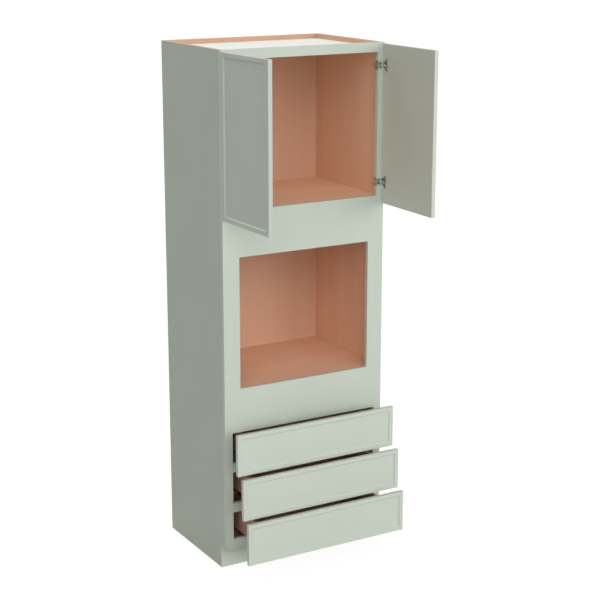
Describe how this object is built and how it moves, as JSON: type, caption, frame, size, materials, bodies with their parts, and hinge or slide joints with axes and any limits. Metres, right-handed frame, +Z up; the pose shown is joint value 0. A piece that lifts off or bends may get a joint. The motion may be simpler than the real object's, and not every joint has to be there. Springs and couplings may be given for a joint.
{
  "type": "oven cabinet",
  "caption": "Tall face frame cabinet for a built-in oven: a cupboard behind doors above the oven's cut-out, and drawers on telescoping slides below it.",
  "frame": {"origin": "on the wall face of the back panel, at floor level, in the middle of the cabinet's width", "axes": "+X to the right seen from the front, +Y towards the wall, +Z up"},
  "size_m": [0.8502, 1.0072, 2.4],
  "materials": {
    "painted_wood": "sage green satin paint",
    "side_panel_laminate": "sage green laminate outside, wood veneer inside",
    "carcass_veneer": "reddish wood veneer, satin",
    "top_panel_veneer": "pale cream birch veneer",
    "drawer_box_wood": "clear lacquer",
    "hinge_steel": "nickel plated",
    "slide_steel": "zinc plated"
  },
  "bodies": {
    "cabinet": {"left_side_panel": "side_panel_laminate", "right_side_panel": "side_panel_laminate", "back_panel": "carcass_veneer", "top_panel": "top_panel_veneer", "upper_deck": "carcass_veneer", "oven_deck": "carcass_veneer", "bottom_deck": "carcass_veneer", "toe_kick_board": "painted_wood", "left_face_stile": "painted_wood", "right_face_stile": "painted_wood", "top_face_rail": "painted_wood", "upper_cross_panel": "painted_wood", "lower_cross_panel": "painted_wood", "left_oven_filler": "painted_wood", "right_oven_filler": "painted_wood", "upper_drawer_rail": "painted_wood", "lower_drawer_rail": "painted_wood", "bottom_face_rail": "painted_wood", "left_hinge_arms": "hinge_steel", "right_hinge_arms": "hinge_steel", "left_slide_cleats": "carcass_veneer", "right_slide_cleats": "carcass_veneer", "left_slide_channels": "slide_steel", "right_slide_channels": "slide_steel"},
    "left_door": {"left_door_panel": "painted_wood", "left_door_hinge_stile": "painted_wood", "left_door_free_stile": "painted_wood", "left_door_top_rail": "painted_wood", "left_door_bottom_rail": "painted_wood", "left_door_hinge_cups": "hinge_steel"},
    "right_door": {"right_door_panel": "painted_wood", "right_door_hinge_stile": "painted_wood", "right_door_free_stile": "painted_wood", "right_door_top_rail": "painted_wood", "right_door_bottom_rail": "painted_wood", "right_door_hinge_cups": "hinge_steel"},
    "upper_drawer": {"upper_drawer_front": "painted_wood", "upper_drawer_left_side": "drawer_box_wood", "upper_drawer_right_side": "drawer_box_wood", "upper_drawer_box_front": "drawer_box_wood", "upper_drawer_back": "drawer_box_wood", "upper_drawer_bottom": "carcass_veneer", "upper_drawer_runners": "slide_steel"},
    "middle_drawer": {"middle_drawer_front": "painted_wood", "middle_drawer_left_side": "drawer_box_wood", "middle_drawer_right_side": "drawer_box_wood", "middle_drawer_box_front": "drawer_box_wood", "middle_drawer_back": "drawer_box_wood", "middle_drawer_bottom": "carcass_veneer", "middle_drawer_runners": "slide_steel"},
    "lower_drawer": {"lower_drawer_front": "painted_wood", "lower_drawer_left_side": "drawer_box_wood", "lower_drawer_right_side": "drawer_box_wood", "lower_drawer_box_front": "drawer_box_wood", "lower_drawer_back": "drawer_box_wood", "lower_drawer_bottom": "carcass_veneer", "lower_drawer_runners": "slide_steel"},
    "upper_link_pair": {"upper_slide_links": "slide_steel"},
    "middle_link_pair": {"middle_slide_links": "slide_steel"},
    "lower_link_pair": {"lower_slide_links": "slide_steel"}
  },
  "joints": [
    {"name": "left_door_hinge", "type": "hinge", "parent": "cabinet", "child": "left_door", "pos_m": [-0.4105, -0.598, 2.028], "axis": [0, 0, -1], "range_deg": [-89, 11]},
    {"name": "right_door_hinge", "type": "hinge", "parent": "cabinet", "child": "right_door", "pos_m": [0.4105, -0.598, 2.028], "axis": [0, 0, 1], "range_deg": [-89, 11]},
    {"name": "upper_drawer_slide", "type": "slide", "parent": "cabinet", "child": "upper_drawer", "axis": [0, -1, 0], "range_m": [-0.096, 0.412]},
    {"name": "middle_drawer_slide", "type": "slide", "parent": "cabinet", "child": "middle_drawer", "axis": [0, -1, 0], "range_m": [-0.147, 0.361]},
    {"name": "lower_drawer_slide", "type": "slide", "parent": "cabinet", "child": "lower_drawer", "axis": [0, -1, 0], "range_m": [-0.1945, 0.3135]},
    {"name": "upper_link_slide", "type": "slide", "parent": "cabinet", "child": "upper_link_pair", "axis": [0, -1, 0], "range_m": [-0.048, 0.206]},
    {"name": "middle_link_slide", "type": "slide", "parent": "cabinet", "child": "middle_link_pair", "axis": [0, -1, 0], "range_m": [-0.0735, 0.1805]},
    {"name": "lower_link_slide", "type": "slide", "parent": "cabinet", "child": "lower_link_pair", "axis": [0, -1, 0], "range_m": [-0.09725, 0.15675]}
  ],
  "couplings": [
    {"joint": "upper_link_slide", "follows": "upper_drawer_slide", "ratio": 0.5},
    {"joint": "middle_link_slide", "follows": "middle_drawer_slide", "ratio": 0.5},
    {"joint": "lower_link_slide", "follows": "lower_drawer_slide", "ratio": 0.5}
  ]
}
